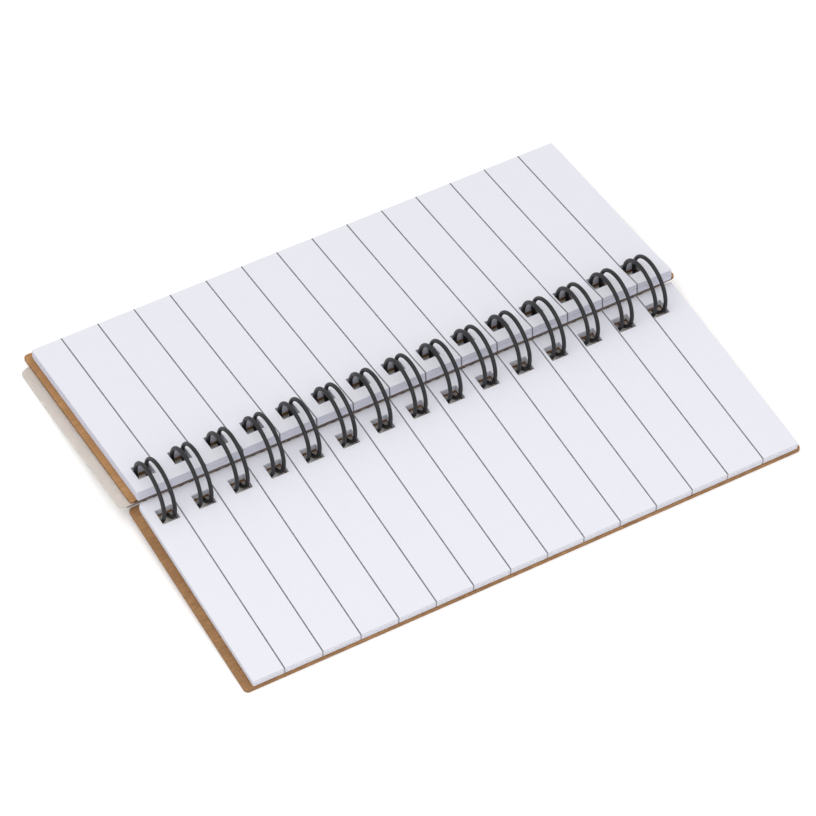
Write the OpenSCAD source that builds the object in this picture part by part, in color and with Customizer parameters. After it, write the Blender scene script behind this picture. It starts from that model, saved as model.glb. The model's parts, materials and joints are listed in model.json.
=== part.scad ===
// Pocket notebook, twin-loop wire bound along its long side, lying open in the middle.
// X runs along the binding, Y across it (far half at +Y, near half at -Y), +Z is up.
// The origin is the middle of the footprint, on the surface the notebook lies on.
// Every sheet and cover turns about the ring axis: each keeps its own distance from that
// axis, so the round wire always passes through the same place in its punched holes.

/* [Wire binding] */
// Number of twin loops
loops = 15; // [8:1:15]
// Spacing of the loops, three to the inch
loop_pitch = 8.467; // [8.467:0.001:8.467]
// Radius of the wire's centre line round the ring axis
ring_r = 6.5; // [6.45:0.05:6.6]
// Diameter of the coated wire
wire_d = 0.9; // [0.8:0.05:1]
// Spacing of the two legs of one loop
leg_gap = 2.5; // [2.2:0.1:2.5]
// Bend radius where the wire links one loop to the next
link_bend_r = 0.8; // [0.7:0.1:0.9]
// Angle at which the loops' closed tips start, seen along the binding
tip_angle = -58; // [-58:1:-50]

/* [Pages] */
// Length of a leaf along the binding
page_len = 129.5; // [129:0.5:131]
// Width of a leaf from its spine edge to its outer edge
page_w = 51.2; // [45:0.1:60]
// Thickness of one leaf of paper
leaf_t = 0.09; // [0.06:0.01:0.09]
// Height that one leaf takes up in a stack
leaf_pitch = 0.1; // [0.1:0.01:0.1]
// Leaves on the near half
near_leaves = 17; // [10:1:17]
// Leaves on the far half
far_leaves = 23; // [10:1:23]
// How far the middle of the leaves lies along X from the middle of the row of loops
page_shift = 1.35; // [1:0.05:1.5]

/* [Punched holes] */
// Side of a square hole
hole = 4; // [4:0.1:4.2]
// Paper left between the holes and the spine edge
spine_margin = 3.4; // [3.2:0.1:3.4]
// Distance of the hole row from the ring axis on the near half
near_hole_r = 5.4; // [5.4:0.05:5.5]
// Distance of the hole row from the ring axis on the far half
far_hole_r = 5.3; // [5.3:0.05:5.4]

/* [Covers] */
// Length of a cover board along the binding
cover_len = 132.2; // [131.8:0.1:132.4]
// Thickness of a cover board
cover_t = 0.8; // [0.5:0.1:0.9]
// How far the near cover reaches past the outer edge of its leaves
near_cover_lip = 0.4; // [0.2:0.1:1]
// How far the far cover reaches past the outer edge of its leaves
far_cover_lip = 1.8; // [1:0.1:1.8]
// How far the near cover reaches past its leaves' spine edge, under the far half
near_cover_past = 0.9; // [0:0.1:1.2]
// How far the far cover stops short of its leaves' spine edge
far_cover_recess = 0.5; // [0.5:0.05:0.7]
// How far the middle of the near cover lies along X from the middle of the leaves
near_cover_shift = -0.6; // [-0.8:0.05:0]
// How far the middle of the far cover lies along X from the middle of the leaves
far_cover_shift = -0.15; // [-0.4:0.05:0.4]
// Corner radius of a cover
cover_corner = 1; // [0.5:0.5:2]

/* [Frosted sheet] */
// Length of the frosted sheet along the binding
sheet_len = 132.4; // [131:0.1:133]
// How far the middle of the sheet lies along X from the middle of the leaves
sheet_shift = -2.5; // [-2.6:0.05:-1]
// How far the sheet stops short of the leaves' outer edge
sheet_short = 1.3; // [0.5:0.1:3]
// How far the sheet stops short of the leaves' spine edge
sheet_recess = 0.55; // [0.55:0.05:0.8]
// Thickness of the frosted sheet
sheet_t = 0.4; // [0.2:0.1:0.4]
// Corner radius of the frosted sheet
sheet_corner = 2; // [0.5:0.5:3]

/* [Stacks] */
// Height of the far half's top leaf above the ring axis
far_top = 1.35; // [1.3:0.05:1.4]
// Depth of the near half's top leaf below the ring axis
near_top = 1.95; // [1.9:0.05:2.1]
// Air between leaves, boards and the frosted sheet
gap = 0.02; // [0.01:0.01:0.03]

/* [Hidden] */
$fn = 48;
nudge = 0.5;                                // how far a hole cutter stands out of a sheet
row_half = (loops - 1) * loop_pitch / 2;    // half the length of the row of loops
bead_d = 1.02 * wire_d;                     // slight swelling where a leg bends into a link
ring_z = ring_r + bead_d / 2;               // the wire rests on the surface
base_angle = 270;                           // the loops' legs end here, at the very bottom

// Undersides, measured from the ring axis
near_board_top = near_top + near_leaves * leaf_pitch + gap;
near_under = near_board_top + cover_t;
far_board_top = far_leaves * leaf_pitch - far_top + gap;
sheet_top = far_board_top + cover_t + gap;
far_under = sheet_top + sheet_t;

// Spine and outer edges, measured from the ring axis
near_spine = near_hole_r - hole / 2 - spine_margin;
far_spine = far_hole_r - hole / 2 - spine_margin;
near_reach = near_spine + page_w + near_cover_lip;
far_reach = far_spine + page_w + far_cover_lip;
sheet_reach = far_spine + page_w - sheet_short;

// Each half slopes down from the ring until its outer edge meets the surface
function rest_tilt(under, reach) = asin(ring_z / norm([under, reach])) - atan(under / reach);
near_tilt = rest_tilt(near_under, near_reach);
far_tilt = rest_tilt(far_under, sheet_reach);

// The footprint is centred on the origin
sheet_left = page_shift + sheet_shift - sheet_len / 2;
cover_right = page_shift + max(near_cover_shift, far_cover_shift) + cover_len / 2;
shift_x = -(sheet_left + cover_right) / 2;
near_edge_y = -(near_reach * cos(near_tilt) - near_board_top * sin(near_tilt));
far_edge_y = far_reach * cos(far_tilt) - far_board_top * sin(far_tilt);
shift_y = -(near_edge_y + far_edge_y) / 2;

function leaf_name(half, k) = str(half, "_leaf_", k < 10 ? "0" : "", k);

// Moves a shape drawn about the ring axis to its place
module at_ring_axis() {
    translate([shift_x, shift_y, ring_z]) children();
}

// A flat sheet on one half: side is +1 for the far half and -1 for the near half,
// spine and reach are its edges and top its upper face, all from the ring axis
module punched_sheet(side, tilt, mid_x, len, spine, reach, top, thick, hole_r, corner) {
    at_ring_axis()
    rotate([-side * tilt, 0, 0])
    translate([0, 0, top - thick])
    difference() {
        linear_extrude(thick)
            sheet_outline(mid_x, len, side * spine, side * reach, corner);
        for (i = [0:loops - 1])
            translate([i * loop_pitch - row_half - hole / 2, side * hole_r - hole / 2, -nudge])
                cube([hole, hole, thick + 2 * nudge]);
    }
}

// The outline of a sheet, square or with rounded corners
module sheet_outline(mid_x, len, y1, y2, corner) {
    low = min(y1, y2);
    width = abs(y2 - y1);
    translate([mid_x - len / 2, low])
    if (corner == 0) {
        square([len, width]);
    } else {
        translate([corner, 0]) square([len - 2 * corner, width]);
        translate([0, corner]) square([len, width - 2 * corner]);
        for (x = [corner, len - corner], y = [corner, width - corner])
            translate([x, y]) circle(corner);
    }
}

// One leaf of paper, number k counted from the top of its half
module near_leaf(k) {
    color("ghostwhite")
    punched_sheet(-1, near_tilt, page_shift, page_len, near_spine, near_spine + page_w,
        -near_top - (k - 1) * leaf_pitch, leaf_t, near_hole_r, 0);
}

module far_leaf(k) {
    color("ghostwhite")
    punched_sheet(1, far_tilt, page_shift, page_len, far_spine, far_spine + page_w,
        far_top - (k - 1) * leaf_pitch, leaf_t, far_hole_r, 0);
}

// Brown cover boards
module near_cover() {
    color("peru")
    punched_sheet(-1, near_tilt, page_shift + near_cover_shift, cover_len,
        near_spine - near_cover_past, near_reach, -near_board_top, cover_t, near_hole_r, cover_corner);
}

module far_cover() {
    color("peru")
    punched_sheet(1, far_tilt, page_shift + far_cover_shift, cover_len,
        far_spine + far_cover_recess, far_reach, -far_board_top, cover_t, far_hole_r, cover_corner);
}

// Thin frosted plastic sheet outside the far cover
module frosted_sheet() {
    color("lightgray", 0.6)
    punched_sheet(1, far_tilt, page_shift + sheet_shift, sheet_len, far_spine + sheet_recess,
        sheet_reach, -sheet_top, sheet_t, far_hole_r, sheet_corner);
}

// A bend of the wire: an arc of the given radius, in the plane of X and Y
module wire_bend(radius, start, sweep) {
    rotate([0, 0, start])
    rotate_extrude(angle = sweep)
        translate([radius, 0]) circle(d = wire_d);
}

// One leg: a nearly full ring from the closed tip, over the top, to the bottom
module leg() {
    rotate([90, 0, 90])
        wire_bend(ring_r, tip_angle, base_angle - tip_angle);
}

// The closed tip that joins the two legs of one loop
module loop_tip() {
    rotate([tip_angle, 0, 0])
    translate([0, ring_r, 0])
    rotate([-90, 0, 0])
        wire_bend(leg_gap / 2, 0, 180);
}

// The link along the bottom from one loop to the next
module loop_link() {
    run = loop_pitch - leg_gap;
    translate([leg_gap / 2, 0, -ring_r]) {
        translate([link_bend_r, 0, 0]) wire_bend(link_bend_r, 90, 90);
        translate([run - link_bend_r, 0, 0]) wire_bend(link_bend_r, 0, 90);
        translate([link_bend_r, link_bend_r, 0])
        rotate([0, 90, 0])
            cylinder(d = wire_d, h = run - 2 * link_bend_r);
        for (x = [0, run]) translate([x, 0, 0]) sphere(d = bead_d);
    }
}

// The whole binding is one length of wire
module wire_binding() {
    color("darkslategray")
    at_ring_axis()
    for (i = [0:loops - 1])
        translate([i * loop_pitch - row_half, 0, 0]) {
            for (side = [-1, 1]) translate([side * leg_gap / 2, 0, 0]) leg();
            loop_tip();
            if (i < loops - 1) loop_link();
        }
}

wire_binding();
near_cover();
far_cover();
frosted_sheet();
for (k = [1:near_leaves]) near_leaf(k);
for (k = [1:far_leaves]) far_leaf(k);
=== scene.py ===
import json
import math
import random

import bpy
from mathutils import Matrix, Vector


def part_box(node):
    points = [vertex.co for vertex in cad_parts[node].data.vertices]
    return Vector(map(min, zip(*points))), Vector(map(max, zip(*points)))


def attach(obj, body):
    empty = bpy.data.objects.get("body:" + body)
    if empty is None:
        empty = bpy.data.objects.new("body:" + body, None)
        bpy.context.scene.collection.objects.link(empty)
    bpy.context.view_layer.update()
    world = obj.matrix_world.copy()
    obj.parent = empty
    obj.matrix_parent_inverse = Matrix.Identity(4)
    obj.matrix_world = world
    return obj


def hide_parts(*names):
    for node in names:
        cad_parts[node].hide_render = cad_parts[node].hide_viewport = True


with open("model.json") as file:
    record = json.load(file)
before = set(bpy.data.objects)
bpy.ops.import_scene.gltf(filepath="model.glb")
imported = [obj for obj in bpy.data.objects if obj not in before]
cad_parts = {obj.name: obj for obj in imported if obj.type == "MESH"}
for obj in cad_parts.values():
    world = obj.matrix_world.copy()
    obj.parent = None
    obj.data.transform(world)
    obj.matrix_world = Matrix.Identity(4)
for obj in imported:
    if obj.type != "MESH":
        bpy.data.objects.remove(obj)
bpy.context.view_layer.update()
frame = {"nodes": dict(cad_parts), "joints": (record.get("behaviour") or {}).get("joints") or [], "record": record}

MM = 0.001
BODY_OF = {node: body for body, nodes in frame["record"]["behaviour"]["bodies"].items() for node in nodes}
AXIS = Vector(frame["joints"][0]["pos_m"])                 # the ring axis, along X

# The binding, as in the CAD
LOOPS = 15
LOOP_PITCH = 8.467 * MM
RING_R = 6.5 * MM
WIRE_R = 0.45 * MM
LEG_GAP = 2.5 * MM
LINK_R = 0.8 * MM
TIP_ANGLE = math.radians(-58)
BASE_ANGLE = math.radians(270)
wire_low, wire_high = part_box("wire_binding")
LOOP_MID_X = (wire_low.x + wire_high.x) / 2

# The ruling
LINES = 14
LINE_PITCH = 8.74 * MM
FIRST_LINE_X = -56.29 * MM
LINE_W = 0.3 * MM
LINE_SOFT = 0.04 * MM                          # how far a line's edge fades, each way


# ---------------------------------------------------------------- node helpers
def new_material(name):
    mat = bpy.data.materials.new(name)
    mat.use_nodes = True
    tree = mat.node_tree
    return mat, tree, tree.nodes["Principled BSDF"]


def value_of(tree, socket, source):
    """Links source to socket when it is a socket, or sets it when it is a number."""
    if isinstance(source, bpy.types.NodeSocket):
        tree.links.new(source, socket)
    else:
        socket.default_value = source


def math_node(tree, operation, a, b=0.0):
    node = tree.nodes.new("ShaderNodeMath")
    node.operation = operation
    for socket, source in zip(node.inputs, (a, b)):
        value_of(tree, socket, source)
    return node.outputs[0]


def remap(tree, value, from_min, from_max, to_min=0.0, to_max=1.0):
    node = tree.nodes.new("ShaderNodeMapRange")
    for i, source in enumerate((value, from_min, from_max, to_min, to_max)):
        value_of(tree, node.inputs[i], source)
    return node.outputs[0]


def mix_colour(tree, factor, a, b):
    node = tree.nodes.new("ShaderNodeMix")
    node.data_type = "RGBA"
    value_of(tree, node.inputs["Factor"], factor)
    for name, source in (("A", a), ("B", b)):
        socket = [s for s in node.inputs if s.name == name and s.type == "RGBA"][0]
        value_of(tree, socket, source if isinstance(source, bpy.types.NodeSocket) else (*source, 1.0))
    return [s for s in node.outputs if s.type == "RGBA"][0]


def object_coords(tree, stretch=(1, 1, 1)):
    coords = tree.nodes.new("ShaderNodeTexCoord").outputs["Object"]
    mapping = tree.nodes.new("ShaderNodeMapping")
    mapping.inputs["Scale"].default_value = stretch
    tree.links.new(coords, mapping.inputs["Vector"])
    return mapping.outputs["Vector"]


def noise(tree, size, detail=3.0, rough=0.55, stretch=(1, 1, 1)):
    """Noise whose features are about size metres across."""
    node = tree.nodes.new("ShaderNodeTexNoise")
    node.inputs["Scale"].default_value = 1 / size
    node.inputs["Detail"].default_value = detail
    node.inputs["Roughness"].default_value = rough
    tree.links.new(object_coords(tree, stretch), node.inputs["Vector"])
    return node.outputs["Fac"]


def bump(tree, shader, height, strength, distance):
    node = tree.nodes.new("ShaderNodeBump")
    node.inputs["Strength"].default_value = strength
    node.inputs["Distance"].default_value = distance
    tree.links.new(height, node.inputs["Height"])
    tree.links.new(node.outputs["Normal"], shader.inputs["Normal"])


# ------------------------------------------------------------------- materials
PAPER = (0.705, 0.706, 0.762)
OUTER_EDGE_PAINTED_LIGHT = (0.715, 0.716, 0.780)             # painted light: the near leaves' outer edges, a touch lighter than the paper faces, for light from the front
SPINE_EDGE_PAINTED_SHADE = (0.610, 0.612, 0.705)             # painted shade: the far leaves' spine edges, darker than the paper faces, for the shade under the wire and the near half
INK = (0.060, 0.062, 0.072)


def ruling(tree):
    """1 on the ruled lines, 0 off them. The lines run across the spine, a fixed distance apart along X."""
    coords = tree.nodes.new("ShaderNodeTexCoord").outputs["Object"]
    split = tree.nodes.new("ShaderNodeSeparateXYZ")
    tree.links.new(coords, split.inputs[0])
    from_first = math_node(tree, "SUBTRACT", split.outputs["X"], FIRST_LINE_X)
    along = math_node(tree, "DIVIDE", from_first, LINE_PITCH)
    nearest = math_node(tree, "ROUND", along)
    off_line = math_node(tree, "ABSOLUTE", math_node(tree, "SUBTRACT", along, nearest))
    away = math_node(tree, "MULTIPLY", off_line, LINE_PITCH)
    line = remap(tree, away, LINE_W / 2 + LINE_SOFT, LINE_W / 2 - LINE_SOFT)
    first_on = math_node(tree, "GREATER_THAN", nearest, -0.5)
    last_on = math_node(tree, "LESS_THAN", nearest, LINES - 0.5)
    return math_node(tree, "MULTIPLY", line, math_node(tree, "MULTIPLY", first_on, last_on))


def paper(name, colour, tone, ink_depth):
    """Uncoated writing paper with fine formation, fibres and slightly uneven printed lines."""
    mat, tree, shader = new_material(name)
    base = tuple(c * tone for c in colour)
    cloudy = remap(tree, noise(tree, 5 * MM, 4), 0.3, 0.7)
    pale = mix_colour(tree, cloudy, tuple(c * 0.985 for c in base), base)
    fibre = remap(tree, noise(tree, 0.35 * MM, 5, 0.65, (1, 0.45, 1)), 0.35, 0.7)
    sheet = mix_colour(tree, fibre, tuple(c * 0.975 for c in base), pale)
    worn = remap(tree, noise(tree, 0.5 * MM, 3), 0.25, 0.6, 0.78 * ink_depth, ink_depth)
    printed = math_node(tree, "MULTIPLY", ruling(tree), worn)
    tree.links.new(mix_colour(tree, printed, sheet, INK), shader.inputs["Base Color"])
    tree.links.new(remap(tree, fibre, 0, 1, 0.62, 0.74), shader.inputs["Roughness"])
    shader.inputs["Specular IOR Level"].default_value = 0.25
    bump(tree, shader, fibre, 0.10, 0.02 * MM)
    return mat


def kraft(name, light, dark, fleck_depth, rough):
    """Brown recycled board: long fibres, dark and pale flecks, a soft cloudy tone."""
    mat, tree, shader = new_material(name)
    cloudy = remap(tree, noise(tree, 6 * MM, 4), 0.3, 0.72)
    ground = mix_colour(tree, cloudy, dark, light)
    fibres = remap(tree, noise(tree, 0.6 * MM, 6, 0.7, (0.35, 1.3, 1)), 0.36, 0.66)
    board = mix_colour(tree, fibres, tuple(c * (1 - fleck_depth) for c in dark), ground)
    spots = tree.nodes.new("ShaderNodeTexVoronoi")
    spots.inputs["Scale"].default_value = 1 / (1.1 * MM)
    tree.links.new(object_coords(tree, (0.6, 1.4, 1)), spots.inputs["Vector"])
    dark_spot = remap(tree, spots.outputs["Distance"], 0.10, 0.20, 0.55, 0.0)
    board = mix_colour(tree, dark_spot, board, tuple(c * 0.55 for c in dark))
    pale_spot = remap(tree, noise(tree, 0.9 * MM, 2, 0.5, (0.5, 1.6, 1)), 0.66, 0.74, 0.0, 0.35)
    board = mix_colour(tree, pale_spot, board, tuple(min(1, c * 1.35) for c in light))
    tree.links.new(board, shader.inputs["Base Color"])
    tree.links.new(remap(tree, fibres, 0, 1, rough, rough - 0.12), shader.inputs["Roughness"])
    shader.inputs["Specular IOR Level"].default_value = 0.3
    bump(tree, shader, fibres, 0.25, 0.05 * MM)
    return mat


def frosted(name, colour, clear, rough):
    """Cloudy plastic with a fine matt grain."""
    mat, tree, shader = new_material(name)
    grain = remap(tree, noise(tree, 0.25 * MM, 4, 0.6), 0.3, 0.7)
    cloudy = remap(tree, noise(tree, 9 * MM, 3), 0.3, 0.7)
    tint = mix_colour(tree, cloudy, tuple(c * 0.97 for c in colour), colour)
    tree.links.new(mix_colour(tree, grain, tuple(c * 0.98 for c in colour), tint), shader.inputs["Base Color"])
    tree.links.new(remap(tree, grain, 0, 1, rough, rough + 0.1), shader.inputs["Roughness"])
    shader.inputs["Transmission Weight"].default_value = clear
    shader.inputs["IOR"].default_value = 1.45
    bump(tree, shader, grain, 0.12, 0.02 * MM)
    return mat


def coated_wire(name):
    """Charcoal nylon coating on steel wire: satin, with a faint orange-peel and faint lighter, rougher patches."""
    mat, tree, shader = new_material(name)
    peel = remap(tree, noise(tree, 0.18 * MM, 3), 0.3, 0.7)
    patches = remap(tree, noise(tree, 3 * MM, 3), 0.35, 0.7)
    body = mix_colour(tree, patches, (0.010, 0.010, 0.012), (0.019, 0.0195, 0.022))
    tree.links.new(mix_colour(tree, peel, (0.011, 0.011, 0.013), body), shader.inputs["Base Color"])
    tree.links.new(remap(tree, patches, 0, 1, 0.42, 0.52), shader.inputs["Roughness"])
    shader.inputs["Specular IOR Level"].default_value = 0.36
    bump(tree, shader, peel, 0.12, 0.02 * MM)
    return mat


TONES = (1.0, 0.985, 0.995)
EDGE_TONES = (1.0, 0.90, 0.97)
PAPER_FACES = [paper(f"ruled_paper_{i + 1}", PAPER, t, 0.92) for i, t in enumerate(TONES)]
# Near leaves' edges: paper painted a touch lighter, as painted light from the front.
NEAR_EDGES_PAINTED_LIGHT = [paper(f"near_paper_edge_painted_light_{i + 1}", OUTER_EDGE_PAINTED_LIGHT, t, 0.55) for i, t in enumerate(EDGE_TONES)]
# Far leaves' edges: paper painted darker, as painted shade at the spine.
FAR_EDGES_PAINTED_SHADE = [paper(f"far_paper_edge_painted_shade_{i + 1}", SPINE_EDGE_PAINTED_SHADE, t, 0.90) for i, t in enumerate(EDGE_TONES)]
KRAFT_FACE = kraft("kraft_board_face", (0.530, 0.290, 0.128), (0.400, 0.205, 0.082), 0.22, 0.80)
# The near cover: the same kraft painted darker, as painted shade under the pages.
KRAFT_SHADED = kraft("kraft_board_face_painted_shade", (0.400, 0.220, 0.098), (0.290, 0.150, 0.062), 0.22, 0.80)
KRAFT_EDGE = kraft("kraft_board_edge", (0.400, 0.215, 0.098), (0.260, 0.135, 0.058), 0.25, 0.90)
# Painted shade: a near-black brown for the boards' spine edges, which lie in shade.
KRAFT_SPINE_PAINTED_SHADE = kraft("kraft_board_spine_edge_painted_shade", (0.110, 0.060, 0.036), (0.070, 0.038, 0.024), 0.25, 0.90)
FROSTED_FACE = frosted("frosted_plastic_face", (0.86, 0.80, 0.75), 0.60, 0.45)
FROSTED_EDGE = frosted("frosted_plastic_edge", (0.64, 0.61, 0.55), 0.40, 0.40)
# Painted shade: a dark brown for the frosted sheet's spine edge, which lies in shade.
FROSTED_SPINE_PAINTED_SHADE = frosted("frosted_plastic_spine_edge_painted_shade", (0.16, 0.12, 0.09), 0.20, 0.40)
WIRE_COAT = coated_wire("wire_coating")


# ---------------------------------------------------------------------- sheets
FACING_UP = 0.9                                # a face whose normal rises more than this is an upper face
MIN_CELL = 1.2 * MM                            # the smallest corner cell of a sheet's grid
CELL_SLACK = 1.001                             # a corner cell is this much wider than its rounded corner
ROW_OFF_CELL = 0.5 * MM                        # extra grid rows stay this far from the corner cells
ROW_OFF_HOLE = 0.4 * MM                        # and this far from the holes' edges
CORNER_STEPS = 8
SPINE_DEPTH = 0.05 * MM                        # walls within this of the spine edge take the last material: on the boards, the painted shade of the spine edge
SHEET_SHARP = math.radians(25)


class Sheet:
    """A flat punched CAD sheet, read as distances from the ring axis: s along the sheet, h square to it."""

    def __init__(self, node):
        mesh = frame["nodes"][node].data
        low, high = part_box(node)
        self.side = 1 if (low.y + high.y) / 2 > AXIS.y else -1
        up = Vector((0, 0, 0))
        for face in mesh.polygons:
            if face.normal.z > FACING_UP:
                up += face.normal * face.area
        self.up = Vector((0, up.y, up.z)).normalized()
        self.along = Vector((0, self.side * self.up.z, -self.side * self.up.y))
        flat = [(v.co.x, *self.measure(v.co)) for v in mesh.vertices]
        xs, ss, hs = zip(*flat)
        self.x0, self.x1 = min(xs), max(xs)
        self.s0, self.s1 = min(ss), max(ss)
        self.h0, self.h1 = min(hs), max(hs)
        hole = [p for p in flat if abs(p[0] - LOOP_MID_X) < LOOP_PITCH / 2]
        self.hole_s = (min(p[1] for p in hole), max(p[1] for p in hole))
        self.hole_half = (max(p[0] for p in hole) - min(p[0] for p in hole)) / 2

    def measure(self, point):
        rel = point - AXIS
        rel.x = 0
        return rel.dot(self.along), rel.dot(self.up)

    def place(self, x, s, h):
        return Vector((x, AXIS.y, AXIS.z)) + self.along * s + self.up * h


def arc_corner(corner, inner, radius):
    """The points of a rounded corner, from one edge of its cell to the other. inner is the cell's opposite corner."""
    cx = corner[0] + math.copysign(radius, inner[0] - corner[0])
    cy = corner[1] + math.copysign(radius, inner[1] - corner[1])
    start = math.atan2(0, corner[0] - cx)
    turn = math.atan2(corner[1] - cy, 0) - start
    turn = (turn + math.pi) % (2 * math.pi) - math.pi
    angles = [start + turn * i / CORNER_STEPS for i in range(CORNER_STEPS + 1)]
    return [(cx + radius * math.cos(a), cy + radius * math.sin(a)) for a in angles]


def sheet_object(name, sheet, edges, rows, radii, heights, materials):
    """A closed sheet with square holes. edges is (x0, x1, s0, s1); rows are extra grid rows as distances past s0;
    radii are the corners' (spine left, spine right, outer left, outer right); heights(x, s) gives (under, top);
    materials are for the faces, the edges and, where there is a third, the edge along the spine."""
    x0, x1, s0, s1 = edges
    cell = max(*radii, MIN_CELL) * CELL_SLACK
    holes = [LOOP_MID_X + (i - (LOOPS - 1) / 2) * LOOP_PITCH for i in range(LOOPS)]
    columns = [x0, x0 + cell]
    for hole in holes:
        columns += [hole - sheet.hole_half, hole + sheet.hole_half]
    columns += [x1 - cell, x1]
    hole_row = sheet.hole_s
    inside = [s0 + row for row in rows if s0 + cell + ROW_OFF_CELL < s0 + row < s1 - cell - ROW_OFF_CELL]
    inside = [s for s in inside if min(abs(s - hole_row[0]), abs(s - hole_row[1])) > ROW_OFF_HOLE]
    levels = sorted([s0, s0 + cell, *hole_row, *inside, s1 - cell, s1])

    index, flat, faces = {}, [], []

    def vertex(x, s):
        key = (round(x * 1e8), round(s * 1e8))
        if key not in index:
            index[key] = len(flat)
            flat.append((x, s))
        return index[key]

    last_col, last_row = len(columns) - 2, len(levels) - 2
    corner_cells = ((0, 0), (last_col, 0), (0, last_row), (last_col, last_row))
    corner_radius = dict(zip(corner_cells, radii))
    for i in range(last_col + 1):
        for j in range(last_row + 1):
            xa, xb, sa, sb = columns[i], columns[i + 1], levels[j], levels[j + 1]
            over_hole = 2 <= i < last_col and i % 2 == 0 and hole_row[0] <= (sa + sb) / 2 <= hole_row[1]
            if over_hole:
                continue
            radius = corner_radius.get((i, j), 0)
            if radius == 0:
                faces.append([vertex(xa, sa), vertex(xb, sa), vertex(xb, sb), vertex(xa, sb)])
                continue
            corner = (xa if i == 0 else xb, sa if j == 0 else sb)
            inner = (xb if i == 0 else xa, sb if j == 0 else sa)
            ring = [(corner[0], inner[1]), *arc_corner(corner, inner, radius), (inner[0], corner[1])]
            if (i == 0) != (j == 0):
                ring.reverse()
            centre = vertex(*inner)
            for p, q in zip(ring, ring[1:]):
                tri = [centre, vertex(*p), vertex(*q)]
                if len(set(tri)) == 3:
                    faces.append(tri)

    count = len(flat)
    solid = [sheet.place(x, s, heights(x, s)[1]) for x, s in flat]
    solid += [sheet.place(x, s, heights(x, s)[0]) for x, s in flat]
    used = set()
    for face in faces:
        used.update(zip(face, face[1:] + face[:1]))
    walls = sorted((a, b) for a, b in used if (b, a) not in used)
    polygons = [list(f) for f in faces] + [[v + count for v in reversed(f)] for f in faces]
    polygons += [[b, a, a + count, b + count] for a, b in walls]
    if sheet.side < 0:
        polygons = [list(reversed(p)) for p in polygons]
    mesh = bpy.data.meshes.new(name)
    mesh.from_pydata(solid, [], polygons)
    for material in materials:
        mesh.materials.append(material)
    for n, polygon in enumerate(mesh.polygons):
        polygon.use_smooth = True
        if n >= 2 * len(faces):
            a, b = walls[n - 2 * len(faces)]
            along_spine = max(flat[a][1], flat[b][1]) < s0 + SPINE_DEPTH
            polygon.material_index = len(materials) - 1 if along_spine else 1
    mesh.set_sharp_from_angle(angle=SHEET_SHARP)
    mesh.validate()
    obj = bpy.data.objects.new(name, mesh)
    bpy.context.scene.collection.objects.link(obj)
    return obj


def stand_for(obj, node):
    """Puts obj in the place of a CAD node, on that node's body."""
    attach(obj, BODY_OF[node])
    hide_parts(node)


def fade(value, near, far):
    """1 at near, 0 at far, smooth in between."""
    t = min(1, max(0, (value - near) / (far - near)))
    return 1 - t * t * (3 - 2 * t)


# ---------------------------------------------------------------------- leaves
LEAF_ROWS = [d * MM for d in (2.3, 4.4, 5.4, 6.4, 8.4, 10, 12.5, 16, 22, 30, 38, 45)]   # closest at the spine
PAPER_T = 0.082 * MM
LEAF_CORNER = 0.3 * MM
NEAR_SPINE_CORNER = 1.1 * MM                   # the spine corner at the left end, on each half
FAR_SPINE_CORNER = 0.25 * MM
END_SPREAD = 0.035                             # unevenness of the leaves' ends and long edges, in millimetres
LONG_SPREAD = 0.03
NEAR_PRESS, NEAR_PRESS_REACH = 0.20 * MM, 5 * MM
FAR_OPEN, FAR_OPEN_REACH = 0.05 * MM, 9 * MM
FAR_OPEN_RIGHT = 0.08 * MM                     # added to FAR_OPEN at the right end
PARTING_FROM, PARTING_TO, PARTING_REACH = 0.3, 0.65, 7 * MM
PARTINGS = ((0.48, 0.15), (0.78, 0.08))        # level in the far stack above which leaves lift, and by how much
near_names = sorted(n for n in frame["nodes"] if n.startswith("near_leaf_"))
far_names = sorted(n for n in frame["nodes"] if n.startswith("far_leaf_"))


def add_leaf(node, number, total, rng):
    """Leaf number (1 on top) of a stack of total leaves, cut and gathered a little unevenly."""
    sheet = Sheet(node)
    level = (total - number) / total            # 0 at the bottom of the stack, nearly 1 at the top
    width = sheet.x1 - sheet.x0

    def rise(x, s):
        past = s - sheet.s0
        right = (x - sheet.x0) / width
        if sheet.side < 0:
            # the near stack presses down towards its spine edge
            return -NEAR_PRESS * level * fade(past, 0, NEAR_PRESS_REACH)
        # the far stack opens a little at its spine edge, more to the right, and parts there at two levels
        open_up = (FAR_OPEN + FAR_OPEN_RIGHT * right) * level * fade(past, 0, FAR_OPEN_REACH)
        parting = (1 - fade(right, PARTING_FROM, PARTING_TO)) * fade(past, 0, PARTING_REACH) * MM
        return open_up + sum(lift * parting for above, lift in PARTINGS if level > above)

    def heights(x, s):
        top = sheet.h1 + rise(x, s)
        return top - PAPER_T, top

    dx = [rng.gauss(0, END_SPREAD) * MM for _ in range(2)]
    ds = [rng.gauss(0, LONG_SPREAD) * MM for _ in range(2)]
    edges = (sheet.x0 + dx[0], sheet.x1 + dx[1], sheet.s0 + abs(ds[0]), sheet.s1 + ds[1])
    spine_left = NEAR_SPINE_CORNER if sheet.side < 0 else FAR_SPINE_CORNER
    radii = (spine_left, LEAF_CORNER, LEAF_CORNER, LEAF_CORNER)
    tone = rng.randrange(len(TONES))
    obj = sheet_object(node + "_paper", sheet, edges, LEAF_ROWS, radii, heights,
                       [PAPER_FACES[tone], (FAR_EDGES_PAINTED_SHADE if sheet.side > 0 else NEAR_EDGES_PAINTED_LIGHT)[tone]])
    stand_for(obj, node)


for names in (near_names, far_names):
    rng = random.Random(len(names))
    for number, node in enumerate(names, 1):
        add_leaf(node, number, len(names), rng)


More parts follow.
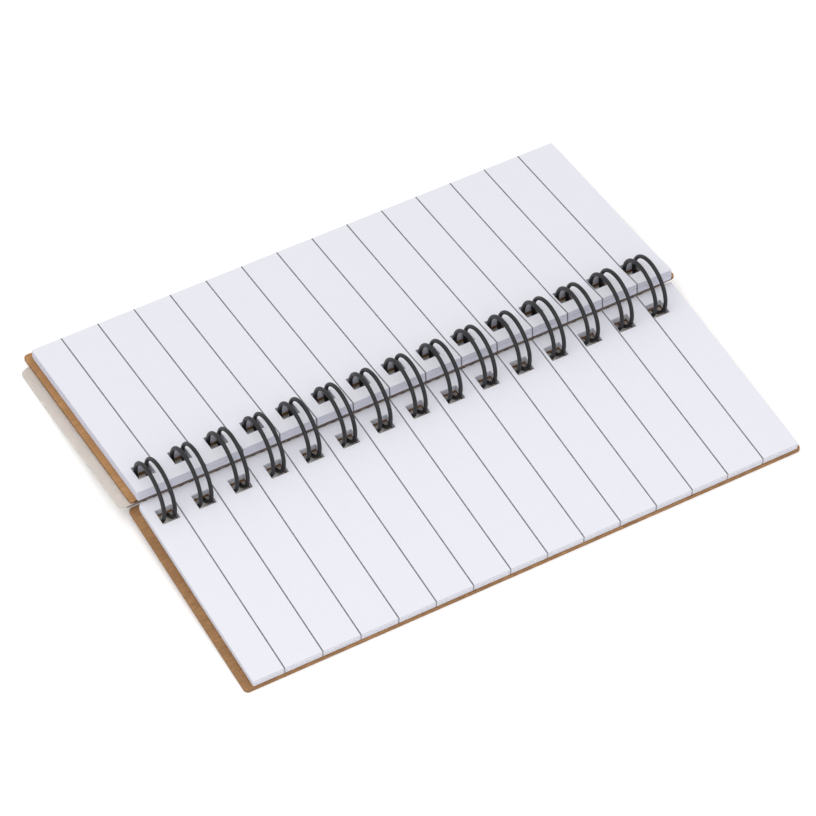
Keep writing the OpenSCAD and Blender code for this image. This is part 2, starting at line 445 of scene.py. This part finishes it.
# ------------------------------------------------------ covers and frosted sheet
BOARD_ROWS = [d * MM for d in (12, 24, 36)]
BOARD_CORNER, BOARD_SOFTENING = 1 * MM, 0.14 * MM
FROSTED_CORNER, FROSTED_SOFTENING = 2 * MM, 0.07 * MM
SOFTEN_ABOVE = math.radians(50)


def add_board(node, radius, edge_round, materials, suffix):
    sheet = Sheet(node)
    obj = sheet_object(node + suffix, sheet, (sheet.x0, sheet.x1, sheet.s0, sheet.s1), BOARD_ROWS, (radius,) * 4,
                       lambda x, s: (sheet.h0, sheet.h1), materials)
    soften = obj.modifiers.new("softened edges", "BEVEL")
    soften.width = edge_round
    soften.segments = 2
    soften.limit_method = "ANGLE"
    soften.angle_limit = SOFTEN_ABOVE
    stand_for(obj, node)


add_board("near_cover", BOARD_CORNER, BOARD_SOFTENING, [KRAFT_SHADED, KRAFT_EDGE], "_board")
add_board("far_cover", BOARD_CORNER, BOARD_SOFTENING, [KRAFT_FACE, KRAFT_EDGE, KRAFT_SPINE_PAINTED_SHADE], "_board")
add_board("frosted_sheet", FROSTED_CORNER, FROSTED_SOFTENING, [FROSTED_FACE, FROSTED_EDGE, FROSTED_SPINE_PAINTED_SHADE],
          "_plastic")


# ------------------------------------------------------------------------ wire
LEG_STEPS, TIP_STEPS, BEND_STEPS, TUBE_SIDES = 56, 12, 7, 14
DOME_ANGLES = [math.radians(a) for a in (75, 50, 25)]
DOME_DEPTH = 0.4                               # of the wire's radius


def ring_point(x, angle):
    return Vector((x, AXIS.y + RING_R * math.cos(angle), AXIS.z + RING_R * math.sin(angle)))


def wire_path():
    """The centre line of the whole wire: over each loop, round its closed tip, back over, and along to the next."""
    points = []
    for loop in range(LOOPS):
        x = LOOP_MID_X + (loop - (LOOPS - 1) / 2) * LOOP_PITCH
        angles = [BASE_ANGLE + (TIP_ANGLE - BASE_ANGLE) * i / LEG_STEPS for i in range(LEG_STEPS + 1)]
        points += [ring_point(x - LEG_GAP / 2, a) for a in angles]
        tip = ring_point(x, TIP_ANGLE)
        onward = Vector((0, math.sin(TIP_ANGLE), -math.cos(TIP_ANGLE)))
        for i in range(1, TIP_STEPS):
            a = math.pi * i / TIP_STEPS
            points.append(tip + Vector((-math.cos(a) * LEG_GAP / 2, 0, 0)) + onward * (math.sin(a) * LEG_GAP / 2))
        points += [ring_point(x + LEG_GAP / 2, a) for a in reversed(angles)]
        if loop == LOOPS - 1:
            break
        start = ring_point(x + LEG_GAP / 2, BASE_ANGLE)
        run = LOOP_PITCH - LEG_GAP
        quarter = [math.pi / 2 * i / BEND_STEPS for i in range(1, BEND_STEPS + 1)]
        points += [start + Vector((LINK_R - LINK_R * math.cos(a), LINK_R * math.sin(a), 0)) for a in quarter]
        points += [start + Vector((run - LINK_R + LINK_R * math.sin(a), LINK_R * math.cos(a), 0))
                   for a in [0, *quarter[:-1]]]
    return points


def tube(name, points, radius, sides, material):
    """A round tube swept along the points, with domed ends."""
    tangents = []
    for i, point in enumerate(points):
        before, after = points[max(0, i - 1)], points[min(len(points) - 1, i + 1)]
        tangents.append((after - before).normalized())
    across = Vector((1, 0, 0))
    rings = []

    def add_ring(centre, tangent, scale):
        nonlocal across
        across = (across - tangent * across.dot(tangent)).normalized()
        other = tangent.cross(across)
        turns = [2 * math.pi * k / sides for k in range(sides)]
        rings.append([centre + (across * math.cos(t) + other * math.sin(t)) * radius * scale for t in turns])

    dome = [(math.cos(a), math.sin(a)) for a in DOME_ANGLES]
    for scale, ahead in dome:
        add_ring(points[0] - tangents[0] * radius * DOME_DEPTH * ahead, tangents[0], scale)
    for point, tangent in zip(points, tangents):
        add_ring(point, tangent, 1)
    for scale, ahead in reversed(dome):
        add_ring(points[-1] + tangents[-1] * radius * DOME_DEPTH * ahead, tangents[-1], scale)
    vertices = [v for ring in rings for v in ring]
    faces = []
    for r in range(len(rings) - 1):
        for k in range(sides):
            a, b = r * sides + k, r * sides + (k + 1) % sides
            faces.append([a, b, b + sides, a + sides])
    faces.append(list(reversed(range(sides))))
    faces.append([(len(rings) - 1) * sides + k for k in range(sides)])
    mesh = bpy.data.meshes.new(name)
    mesh.from_pydata(vertices, [], faces)
    mesh.materials.append(material)
    for polygon in mesh.polygons:
        polygon.use_smooth = True
    obj = bpy.data.objects.new(name, mesh)
    bpy.context.scene.collection.objects.link(obj)
    return obj


stand_for(tube("wire_binding_coated", wire_path(), WIRE_R, TUBE_SIDES, WIRE_COAT), "wire_binding")


# ------------------------------------------------------- floor, light and camera
FLOOR_REACH = 3.0
FLOOR_CORNERS = [(x * FLOOR_REACH, y * FLOOR_REACH, 0) for x, y in ((-1, -1), (1, -1), (1, 1), (-1, 1))]
floor_mesh = bpy.data.meshes.new("floor")
floor_mesh.from_pydata(FLOOR_CORNERS, [], [(0, 1, 2, 3)])
floor = bpy.data.objects.new("floor", floor_mesh)
bpy.context.scene.collection.objects.link(floor)
floor_mat, _, floor_shader = new_material("floor")
floor_shader.inputs["Base Color"].default_value = (0.95, 0.95, 0.95, 1)
floor_shader.inputs["Roughness"].default_value = 0.9
floor_shader.inputs["Specular IOR Level"].default_value = 0.1
floor_shader.inputs["Emission Color"].default_value = (1, 1, 1, 1)
floor_shader.inputs["Emission Strength"].default_value = 0.08
floor_mesh.materials.append(floor_mat)

world = bpy.data.worlds.new("studio")
world.use_nodes = True
world.node_tree.nodes["Background"].inputs["Color"].default_value = (1, 1, 1, 1)
world.node_tree.nodes["Background"].inputs["Strength"].default_value = 0.80
bpy.context.scene.world = world


def soft_light(name, place, size, power):
    data = bpy.data.lights.new(name, "AREA")
    data.shape = "DISK"
    data.size = size
    data.energy = power
    obj = bpy.data.objects.new(name, data)
    obj.location = place
    obj.rotation_euler = (-Vector(place)).to_track_quat("-Z", "Y").to_euler()
    bpy.context.scene.collection.objects.link(obj)


soft_light("key", (-0.35, -0.05, 1.1), 1.2, 5.5)
soft_light("front", (-0.2, -1.1, 0.6), 1.0, 4)

AZIMUTH = math.radians(-29.24)
ELEVATION = math.radians(48.34)
DISTANCE = 853.06 * MM
TARGET = Vector((0.459, -0.887, 0)) * MM
camera_data = bpy.data.cameras.new("camera")
camera_data.sensor_width = 36
camera_data.lens = 176.9
camera_data.clip_start = 0.01
camera_data.clip_end = 20
camera_data.dof.use_dof = False
camera = bpy.data.objects.new("camera", camera_data)
level_out = math.cos(ELEVATION)
back = Vector((math.sin(AZIMUTH) * level_out, -math.cos(AZIMUTH) * level_out, math.sin(ELEVATION)))
camera.location = TARGET + back * DISTANCE
camera.rotation_euler = (-back).to_track_quat("-Z", "Y").to_euler()
bpy.context.scene.collection.objects.link(camera)
bpy.context.scene.camera = camera

bpy.context.scene.view_settings.view_transform = "Standard"

bpy.context.view_layer.update()
